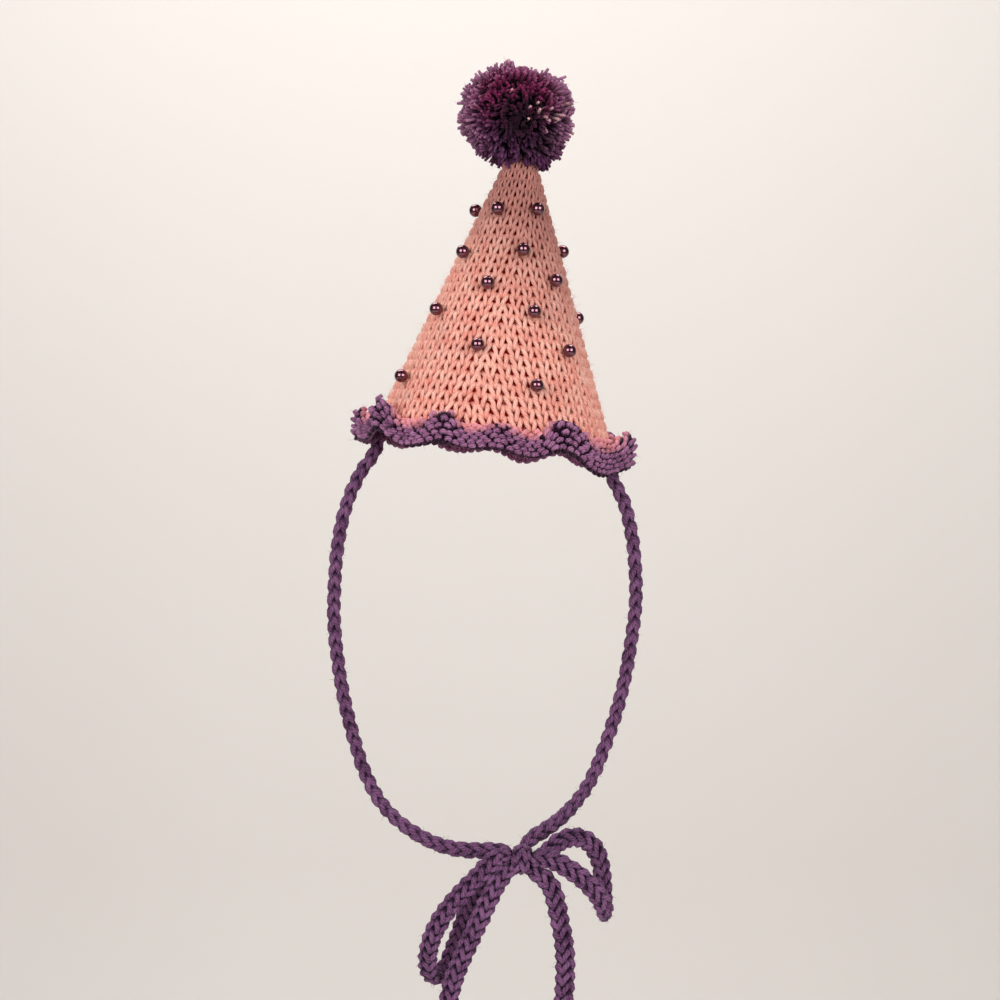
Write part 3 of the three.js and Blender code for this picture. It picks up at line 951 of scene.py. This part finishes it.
def crown_stitch(knitted, column, dice):
    """One stitch of a panel: its places, as azimuth from the panel's right edge, and depth."""
    count = crown_count(knitted)
    above = crown_count(knitted + 1)
    along, swing, up, out = knit_loop(CROWN_POINTS, CROWN_SWAY)
    ease = dice.normal(0, 1, 3) * CROWN_EASE
    up = knitted + up * (CROWN_REACH + ease[0])
    rising = smooth(up - knitted)
    place = column + 1 - along - swing + ease[1]
    depth = (out - 1) * CROWN_LOOP_DEPTH + ease[2]
    if above < count and column == count - 1:
        place = place - rising
        depth = depth - DECREASE_DEPTH * rising
    stitches = count + (above - count) * rising
    width = crown_width(up)
    near_line = smooth((place - stitches + DECREASE_REACH) / DECREASE_REACH)
    share = (place + (width - stitches) * near_line) / width
    # The last value is how deep the loop lies, for its painted shade
    return share, up, depth, (1 - out) / 2


def crown_round(knitted, dice):
    """The yarn of one round: three panels whose columns run beside the line on their right."""
    stitches = [
        (panel, crown_stitch(knitted, column, dice))
        for panel in range(PANELS)
        for column in range(crown_count(knitted) - 1, -1, -1)
    ]
    share = np.concatenate([panel + 1 - stitch[0] for panel, stitch in stitches])
    up, depth, deep = (np.concatenate([s[k] for _, s in stitches]) for k in (1, 2, 3))
    height = CROWN_FIRST_ROUND + up * CROWN_ROUND_HEIGHT
    radius = crown_radius(height)
    line = DECREASE_START + DECREASE_WIND * np.log(MOUTH_RADIUS / radius)
    width = radius / crown_width(up)
    thickness = (width * CROWN_STITCHES / MOUTH_RADIUS) ** CROWN_THINNING
    depth = depth - CROWN_YARN["radius"] * thickness
    return {
        "points": cone_points(line + TAU / PANELS * share, height, depth),
        "ring": True,
        "values": {"thickness": thickness, "deep": deep},
    }


def smooth(share):
    """0 at 0 and below, 1 at 1 and above, smooth in between."""
    share = np.clip(share, 0, 1)
    return share * share * (3 - 2 * share)


def cone_ring(height, depth):
    same = np.ones(CROWN_LINING_POINTS)
    return cone_points(all_round(CROWN_LINING_POINTS), same * height, same * depth)


def read_values(items, title, width):
    """A property of each item, in rows of so many numbers."""
    values = np.zeros(len(items) * width, np.float32)
    items.foreach_get(title, values)
    return values.reshape(-1, width)


def show_inside(obj):
    """Yarn that faces the hat's axis gets no painted shade, as the hat's inside can be seen too.
    """
    deep = obj.data.attributes["deep"].data
    x, y, z = read_values(obj.data.vertices, "co", 3).T
    normals = read_values(obj.data.vertex_normals, "vector", 3)
    outwards = unit(np.stack([x - z * math.tan(HAT_LEAN), y], axis=1))
    facing = np.sum(outwards * normals[:, :2], axis=1)
    shown = read_values(deep, "value", 1)[:, 0] * smooth((facing - FACING_IN) / FACING_BLEND)
    deep.foreach_set("value", shown)


def make_crown(name, rounds, low, high, yarn, hollow):
    """A stretch of the crown by its rounds, lined between two heights with a dark skin of painted
    shade.
    """
    dice = np.random.default_rng(SEEDS["crown"] + rounds.start)
    strands = [crown_round(r, dice) for r in rounds]
    obj = knit(name, strands, CROWN_YARN, yarn, FIBRE_SEEDS["crown"] + rounds.start)
    show_inside(obj)
    heights = np.linspace(low, high, CROWN_LINING_RINGS)
    outer = [cone_ring(h, -CROWN_YARN["radius"] - CROWN_LINING_FACE) for h in heights]
    inner = [cone_ring(h, -CROWN_YARN["radius"] - CROWN_LINING_BACK) for h in heights[::-1]]
    line_with(obj, outer + inner, hollow, closed_ring=True)
    return obj


def wave_values(degrees):
    """The ruffle's wave at each azimuth: its share of crest, and the sizes between crests."""
    at = np.array([w["at"] for w in WAVES] + [WAVES[0]["at"] + 360])
    turned = (degrees - at[0]) % 360 + at[0]
    i = np.clip(np.searchsorted(at, turned, side="right") - 1, 0, len(WAVES) - 1)
    t = (turned - at[i]) / (at[i + 1] - at[i])
    s = t * t * (3 - 2 * t)
    sizes = []
    for title in ("flare", "rise", "hem"):
        value = np.array([w[title] for w in WAVES] + [WAVES[0][title]], float)
        sizes.append(value[i] + (value[i + 1] - value[i]) * s)
    dip = np.array([w["dip"] for w in WAVES], float)[i]
    return (1 + np.cos(TAU * t)) / 2, *sizes, dip


def ruffle_middle(degrees, s):
    """Middle of the ruffle's wall: s runs from the join, 0, to the hem, 1."""
    crest, flare, rise, hem, dip = wave_values(degrees)
    join = RUFFLE_JOIN_HEIGHT
    crest_out = flare * np.sin(CREST_ROLL * s)
    crest_height = join + rise * np.sin(math.pi * s) - (join - hem) * s * s
    dip_out = DIP_SWELL * np.sin(DIP_ROLL * s)
    dip_height = join - (join - dip) * s
    radius = RUFFLE_JOIN_RADIUS + dip_out + (crest_out - dip_out) * crest
    height = dip_height + (crest_height - dip_height) * crest
    return polar(radius, np.radians(degrees), height)


def ruffle_points(degrees, s, depth):
    """Points off the ruffle's middle, pushed along its normal."""
    step = 0.02
    up = ruffle_middle(degrees, s + step) - ruffle_middle(degrees, s - step)
    along = ruffle_middle(degrees + 1, s) - ruffle_middle(degrees - 1, s)
    normal = unit(np.cross(up, along))
    return lean(ruffle_middle(degrees, s) + normal * depth[:, None])


def even_places(degrees, share):
    """Places from the join to the hem that lie evenly on the cloth at each azimuth."""
    grid = np.linspace(-0.05, 1.05, WALL_STEPS)
    wall = ruffle_middle(np.repeat(degrees, WALL_STEPS), np.tile(grid, len(degrees)))
    steps = np.linalg.norm(np.diff(wall.reshape(-1, WALL_STEPS, 3), axis=1), axis=2)
    lengths = np.concatenate([np.zeros((len(degrees), 1)), np.cumsum(steps, axis=1)], axis=1)
    places = []
    for part, row in zip(share, lengths):
        join, hem = np.interp([0, 1], grid, row)
        places.append(np.interp(join + part * (hem - join), row, grid))
    return np.array(places)


def ruffle_round(knitted, dice):
    """The yarn of one round, its loops' tops outwards as on a purl side."""
    along, swing, up, out = knit_loop(RUFFLE_POINTS, RUFFLE_SWAY)
    lift = (up - out) / 2
    reach = np.full(RUFFLE_POINTS, RUFFLE_REACH)
    if knitted == RUFFLE_ROUNDS - 1:
        reach[up < 0] = RUFFLE_EDGE_REACH
    places, shares, depths = [], [], []
    for column in range(RUFFLE_STITCHES):
        ease = dice.normal(0, 1, 3) * RUFFLE_EASE
        places.append(column + along + swing + ease[0] + 0.5 * knitted)
        shares.append((knitted + 0.5 - up * (reach + ease[1])) / RUFFLE_ROUNDS)
        depths.append(lift * RUFFLE_LOOP_DEPTH * (1 + ease[2]))
    degrees = WAVES[0]["at"] + 360 * np.concatenate(places) / RUFFLE_STITCHES
    share = np.concatenate(shares)
    return {
        "points": ruffle_points(degrees, even_places(degrees, share), np.concatenate(depths)),
        "ring": True,
        "values": {
            "thickness": 1.0,
            "join": np.clip(RUFFLE_TINT - share * RUFFLE_ROUNDS * RUFFLE_TINT_FADE, 0, 1),
            # Painted shade where the loops lie deep
            "deep": np.tile(RUFFLE_PAINTED_SHADE * (1 - lift), RUFFLE_STITCHES),
        },
    }


def ruffle_seam():
    """The stitches that hold the ruffle on the crown's edge: a yarn coiled round the join."""
    turn = np.arange(RUFFLE_STITCHES * SEAM_POINTS) * TAU / SEAM_POINTS
    radius = SEAM_RADIUS + SEAM_WIDTH * np.cos(turn)
    height = SEAM_HEIGHT + SEAM_RISE * np.sin(turn)
    points = lean(polar(radius, turn / RUFFLE_STITCHES, height))
    values = {"thickness": 1.0, "join": 1.0, "deep": 0.0}
    return {"points": points, "ring": True, "values": values}


def make_ruffle(yarn, hollow):
    """The ruffle with its seam. Its matted inside, dark with painted shade, reaches in under the
    crown's foot.
    """
    dice = np.random.default_rng(SEEDS["ruffle"])
    strands = [ruffle_round(r, dice) for r in range(RUFFLE_ROUNDS)] + [ruffle_seam()]
    obj = knit("knit_ruffle", strands, RUFFLE_YARN, yarn, FIBRE_SEEDS["ruffle"])
    show_inside(obj)
    degrees = np.linspace(0, 360, RUFFLE_LINING_POINTS, endpoint=False)
    same = np.ones(RUFFLE_LINING_POINTS)
    tongue = polar(same * (SEAM_RADIUS - SEAM_WIDTH), np.radians(degrees), same * SEAM_HEIGHT)
    rings = [lean(tongue)]
    for half, shares in ((1, RUFFLE_LINING_SHARES), (-1, RUFFLE_LINING_SHARES[::-1])):
        depth = same * half * RUFFLE_LINING_HALF
        rings.extend(ruffle_points(degrees, same * s, depth) for s in shares)
    line_with(obj, rings, hollow, closed_ring=True)
    return obj


def blend(u, start, end, first, last):
    """A point that is at first where u is at start, and at last where it is at end."""
    return (end - u) / (end - start) * first + (u - start) / (end - start) * last


def smooth_route(route):
    """A centripetal spline through the route's points, with a point every half millimetre."""
    knots = np.array(route, float)
    p = np.concatenate([[2 * knots[0] - knots[1]], knots, [2 * knots[-1] - knots[-2]]])
    line = []
    for i in range(1, len(p) - 2):
        t = [0.0]
        for a, b in zip(p[i - 1 : i + 2], p[i : i + 3]):
            t.append(t[-1] + max(np.linalg.norm(b - a), 1e-6) ** 0.5)
        u = np.linspace(t[1], t[2], ROUTE_STEPS, endpoint=False)[:, None]
        a = [blend(u, t[j], t[j + 1], p[i + j - 1], p[i + j]) for j in range(3)]
        b = [blend(u, t[j], t[j + 2], a[j], a[j + 1]) for j in range(2)]
        line.append(blend(u, t[1], t[2], *b))
    return even_line(np.concatenate(line + [knots[-1:]]))


def even_line(line):
    """The same line with a point every half millimetre, and its length."""
    length = lengths_along(line)
    even = np.linspace(0, length[-1], int(round(length[-1] / CORD_STEP)) + 1)
    return interpolated(even, length, line), length[-1]


def square_up(line, look):
    """Turns look square to the line, and gives the side that is square to both."""
    tangent = unit(np.gradient(line, axis=0))
    look = unit(look - tangent * np.sum(look * tangent, axis=1)[:, None])
    return look, np.cross(tangent, look)


def cord_body(cord, line, length, look):
    """A cord with its middle line, the way its flat face looks there, and its side."""
    look, side = square_up(line, look)
    return {**cord, "line": line, "length": length, "look": look, "side": side}


def cord_girth(body, place):
    """The share of its full section that a cord has at places along it."""
    girth = np.ones(len(place))
    for end, away in zip(body["ends"], (place, body["length"] - place)):
        if end == "knot":
            girth *= KNOT_GIRTH + (1 - KNOT_GIRTH) * smooth(away / KNOT_SQUEEZE)
        if end == "tip":
            near = np.clip(away / TIP_LENGTH, 0, 1)
            girth *= TIP_GIRTH + (1 - TIP_GIRTH) * np.sqrt(1 - (1 - near) ** 2)
    return girth


def cord_points(body, place, turn, lift):
    """Points round the cord by their place along it, turn round it and lift off its face."""
    steps = np.arange(len(body["line"]))
    at = np.clip(place / CORD_STEP, 0, len(steps) - 1)
    line, look, side = (interpolated(at, steps, body[k]) for k in ("line", "look", "side"))
    girth = cord_girth(body, place)
    face_reach = (body["gauge"]["thickness"] / 2 + lift) * girth
    side_reach = (body["gauge"]["width"] / 2 + lift) * girth
    out = look * (np.cos(turn) * face_reach)[:, None]
    out += side * (np.sin(turn) * side_reach)[:, None]
    return line + out


def cord_yarn(body, dice):
    """One yarn that winds down the cord, three stitches to a round."""
    gauge, length = body["gauge"], body["length"]
    stitches = int(round((length / gauge["round"] - CORD_OVERLAP) * CORD_STITCHES))
    pitch = length / (stitches / CORD_STITCHES + CORD_OVERLAP)
    along, swing, up, out = knit_loop(CORD_POINTS, gauge["sway"])
    turns, places, lifts = [], [], []
    for stitch in range(stitches):
        ease = dice.normal(0, 1, 3) * CORD_EASE
        turns.append((stitch + along + swing + ease[0]) / CORD_STITCHES * TAU)
        places.append((stitch + along) / CORD_STITCHES + up * (CORD_REACH + ease[1]))
        lifts.append((out - 1) * CORD_LOOP_DEPTH + ease[2])
    place = np.clip((np.concatenate(places) + CORD_OVERLAP / 2) * pitch, 0, length)
    turn = np.concatenate(turns) + math.radians(body["turn"])
    lift = np.concatenate(lifts) - CORD_YARN["radius"]
    # Painted shade where the loop lies deep, and more at the foot of each stitch
    deep = np.tile((1 - out) / 2 + CORD_SHADE * ((1 - up) / 2) ** 2, stitches)
    values = {"thickness": 0.5 + 0.5 * cord_girth(body, place), "deep": deep}
    return {"points": cord_points(body, place, turn, lift), "ring": False, "values": values}


def cord_core(body):
    """Rings of the cord's matted inside, dark with painted shade, a little inside its yarn."""
    lift = -(CORD_YARN["radius"] + CORD_LOOP_DEPTH)
    same, turn = np.ones(CORD_CORE_SIDES), all_round(CORD_CORE_SIDES)
    end = body["length"] - CORD_CORE_INSET
    places = np.linspace(CORD_CORE_INSET, end, max(6, int(body["length"] / CORD_CORE_STEP)))
    return [cord_points(body, same * place, turn, lift) for place in places]


def knot_middle():
    low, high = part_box("bow_knot")
    return np.array((low + high) / 2) / MM


def knot_reach(across, turn, size):
    """Steps from the knot's middle to points round it."""
    deep, high = KNOT_DEEP * size, KNOT_HIGH * size
    return np.stack([across, -np.cos(turn) * deep, np.sin(turn) * high], axis=1)


def held_route(cord):
    """The cord's route, led a little further into the knot wherever the knot holds it."""
    route = [np.array(point, float) for point in cord["route"]]
    for end, place in ((0, 0), (-1, len(route) + 1)):
        if cord["ends"][end] == "knot":
            inwards = knot_middle() - route[end]
            route.insert(place, route[end] + inwards / np.linalg.norm(inwards) * KNOT_HOLD)
    return route


def make_cord(cord, yarn, hollow):
    """A cord on its route, with its middle line and length."""
    line, length = smooth_route(held_route(cord))
    shares, places = (np.linspace(0, 1, len(rows)) for rows in (line, cord["faces"]))
    body = cord_body(cord, line, length, interpolated(shares, places, cord["faces"]))
    strand = cord_yarn(body, np.random.default_rng(cord["seed"]))
    obj = knit(cord["name"], [strand], CORD_YARN, yarn, cord["seed"])
    line_with(obj, cord_core(body), hollow)
    return obj, line, length


def make_camera():
    data = bpy.data.cameras.new("camera")
    data.lens = CAMERA_LENS
    data.sensor_width = SENSOR
    camera = add_object("camera", data)
    camera.location = Vector(CAMERA_AT) * MM
    camera.rotation_euler = (math.pi / 2, 0, 0)
    bpy.context.scene.camera = camera


def make_stage():
    profile = [(STAGE_FRONT, FLOOR_Z)]
    for turn in np.linspace(0, math.pi / 2, STAGE_CURVE_STEPS + 1):
        along = STAGE_BACK - STAGE_CURVE + STAGE_CURVE * math.sin(turn)
        profile.append((along, FLOOR_Z + STAGE_CURVE * (1 - math.cos(turn))))
    profile.append((STAGE_BACK, STAGE_TOP))
    sides = (-STAGE_HALF_WIDTH, STAGE_HALF_WIDTH)
    points = [(x * MM, y * MM, z * MM) for y, z in profile for x in sides]
    faces = [(2 * i, 2 * i + 1, 2 * i + 3, 2 * i + 2) for i in range(len(profile) - 1)]
    mesh = bpy.data.meshes.new("stage")
    mesh.from_pydata(points, [], faces)
    mesh.materials.append(stage_shader())
    for face in mesh.polygons:
        face.use_smooth = True
    add_object("stage", mesh)


def make_lights():
    for name, (place, aim, size, watts, colour) in LIGHTS.items():
        data = bpy.data.lights.new(name, "AREA")
        data.shape = "RECTANGLE"
        data.size, data.size_y = size
        data.energy = watts
        data.color = colour
        light = add_object(name, data)
        light.location = place
        ray = Vector(aim) - Vector(place)
        light.rotation_euler = ray.to_track_quat("-Z", "Y").to_euler()
    world = bpy.data.worlds.new("studio")
    world.use_nodes = True
    sky = world.node_tree.nodes["Background"].inputs
    sky["Color"].default_value = (*WORLD_COLOUR, 1)
    sky["Strength"].default_value = WORLD_STRENGTH
    bpy.context.scene.world = world
    bpy.context.scene.view_settings.view_transform = "Standard"


def settle(obj, slot, *nodes):
    """Every piece rides on the one body, and the CAD nodes it stands for are hidden."""
    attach(obj, "root")
    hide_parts(*nodes)


def make_pearl(number, material):
    """A round pearl where its CAD bead is."""
    low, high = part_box(f"bead_{number:02d}")
    middle = (low + high) / 2
    work = bmesh.new()
    rings, spokes = PEARL_RINGS, PEARL_SPOKES
    bmesh.ops.create_uvsphere(work, u_segments=spokes, v_segments=rings, radius=PEARL_RADIUS * MM)
    for vertex in work.verts:
        vertex.co = middle + vertex.co
    for face in work.faces:
        face.smooth = True
    mesh = bpy.data.meshes.new(f"pearl_{number:02d}")
    work.to_mesh(mesh)
    work.free()
    mesh.materials.append(material)
    obj = add_object(mesh.name, mesh)
    settle(obj, "pearl", f"bead_{number:02d}")


def make_knot(yarn, hollow):
    """A turn of cord wound round a squeezed middle."""
    middle = knot_middle()
    turn = np.linspace(-KNOT_TURNS * math.pi, KNOT_TURNS * math.pi, KNOT_STEPS)
    across = np.linspace(-KNOT_HALF_WIDTH, KNOT_HALF_WIDTH, KNOT_STEPS)
    line, length = even_line(middle + knot_reach(across, turn, 1))
    cord = {"gauge": WRAPPED, "ends": ("cut", "cut"), "turn": 0}
    body = cord_body(cord, line, length, (line - middle) * (0, 1, 1))
    strand = cord_yarn(body, np.random.default_rng(SEEDS["knot"]))
    obj = knit("knit_knot", [strand], CORD_YARN, yarn, FIBRE_SEEDS["knot"])
    # The knot's squeezed middle, a dark skin of painted shade
    rings = []
    for x in np.linspace(-KNOT_CORE, KNOT_CORE, KNOT_CORE_RINGS):
        size = math.sqrt(1 - (x / KNOT_CORE_ROUND) ** 2)
        across = np.full(KNOT_CORE_SIDES, x)
        rings.append(middle + knot_reach(across, all_round(KNOT_CORE_SIDES), size))
    line_with(obj, rings, hollow)
    return obj


def make_pompom(yarn, hollow):
    obj = path_object("yarn_pompom", [])
    sizes = {
        "Strands": STRANDS,
        "Ball radius": POMPOM["radius"] * MM,
        "Root radius": POMPOM["root"] * MM,
        "Flatness": POMPOM["flatness"],
        "Yarn radius": POMPOM_YARN["radius"] * MM,
        "Sides": POMPOM_YARN["sides"],
        "Seed": SEEDS["pompom"],
        "Yarn": yarn,
    }
    fibres = fibre_sizes(POMPOM_YARN, FIBRE_SEEDS["pompom"], yarn, tips_only=1.0)
    grow(obj, (TIE_POMPOM, sizes), (FIBRES, fibres))
    middle = np.array(POMPOM["middle"])
    places = read_values(obj.data.vertices, "co", 3)
    places = lean(places / MM + middle) * MM
    obj.data.vertices.foreach_set("co", places.astype(np.float32).ravel())
    rings = []
    same = np.ones(POMPOM_CORE_SIDES)
    for turn in np.linspace(POMPOM_CORE_POLE, math.pi - POMPOM_CORE_POLE, POMPOM_CORE_RINGS):
        radius = same * POMPOM["core"] * math.sin(turn)
        height = same * -POMPOM["core"] * math.cos(turn) * POMPOM["flatness"]
        rings.append(lean(polar(radius, all_round(POMPOM_CORE_SIDES), height) + middle))
    line_with(obj, rings, hollow)
    return obj


# Pieces

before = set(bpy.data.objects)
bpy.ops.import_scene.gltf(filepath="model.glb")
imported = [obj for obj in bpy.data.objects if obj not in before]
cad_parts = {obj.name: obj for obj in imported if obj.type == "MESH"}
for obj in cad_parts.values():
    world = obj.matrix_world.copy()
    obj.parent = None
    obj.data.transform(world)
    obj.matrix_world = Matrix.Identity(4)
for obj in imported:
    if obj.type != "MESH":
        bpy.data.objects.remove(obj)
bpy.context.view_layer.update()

SPIN = spinning_tree()
FIBRES = fibre_tree()
TIE_POMPOM = pompom_tree()

make_camera()
make_stage()
make_lights()

# Dark skins of painted shade inside the knitting
red_shade_skin = shade_skin_shader("red_shade_skin", HOLLOW_RED_SHADE)
purple_shade_skin = shade_skin_shader("purple_shade_skin", PURPLE_HOLLOW_SHADE)

cord_yarn_material = yarn_shader("cord_yarn", cord_shade, CORD_HOLLOW_SHADE, sheen=CORD_SHEEN)
knot = make_knot(cord_yarn_material, purple_shade_skin)
settle(knot, "cord_yarn", "bow_knot")

for cord in CORDS:
    obj, line, length = make_cord(cord, cord_yarn_material, purple_shade_skin)
    settle(obj, "cord_yarn", cord["node"])

crown_yarn = yarn_shader("crown_yarn", crown_shade, HOLLOW_RED_SHADE, sheen=CROWN_SHEEN)
split = CROWN_FIRST_ROUND + CROWN_ROUND_HEIGHT * (CROWN_SPLIT_ROUND - 0.5)
for name, rounds, low, high in (
    ("knit_crown_lower", range(0, CROWN_SPLIT_ROUND), CROWN_LINING_FOOT, split),
    ("knit_crown_upper", range(CROWN_SPLIT_ROUND, CROWN_ROUNDS), split, CROWN_LINING_TOP),
):
    settle(make_crown(name, rounds, low, high, crown_yarn, red_shade_skin), "crown_yarn", "crown")

ruffle_yarn = yarn_shader("ruffle_yarn", ruffle_shade, PURPLE_HOLLOW_SHADE, sheen=RUFFLE_SHEEN)
settle(make_ruffle(ruffle_yarn, purple_shade_skin), "ruffle_yarn", "ruffle")

pompom_yarn = yarn_shader("pompom_yarn", pompom_shade, PLUM_SHADE, POMPOM_SHEEN, sheen_weight=0.08)
settle(make_pompom(pompom_yarn, purple_shade_skin), "pompom_yarn", "pompom")

pearl = pearl_shader()
for number in range(1, PEARLS + 1):
    make_pearl(number, pearl)
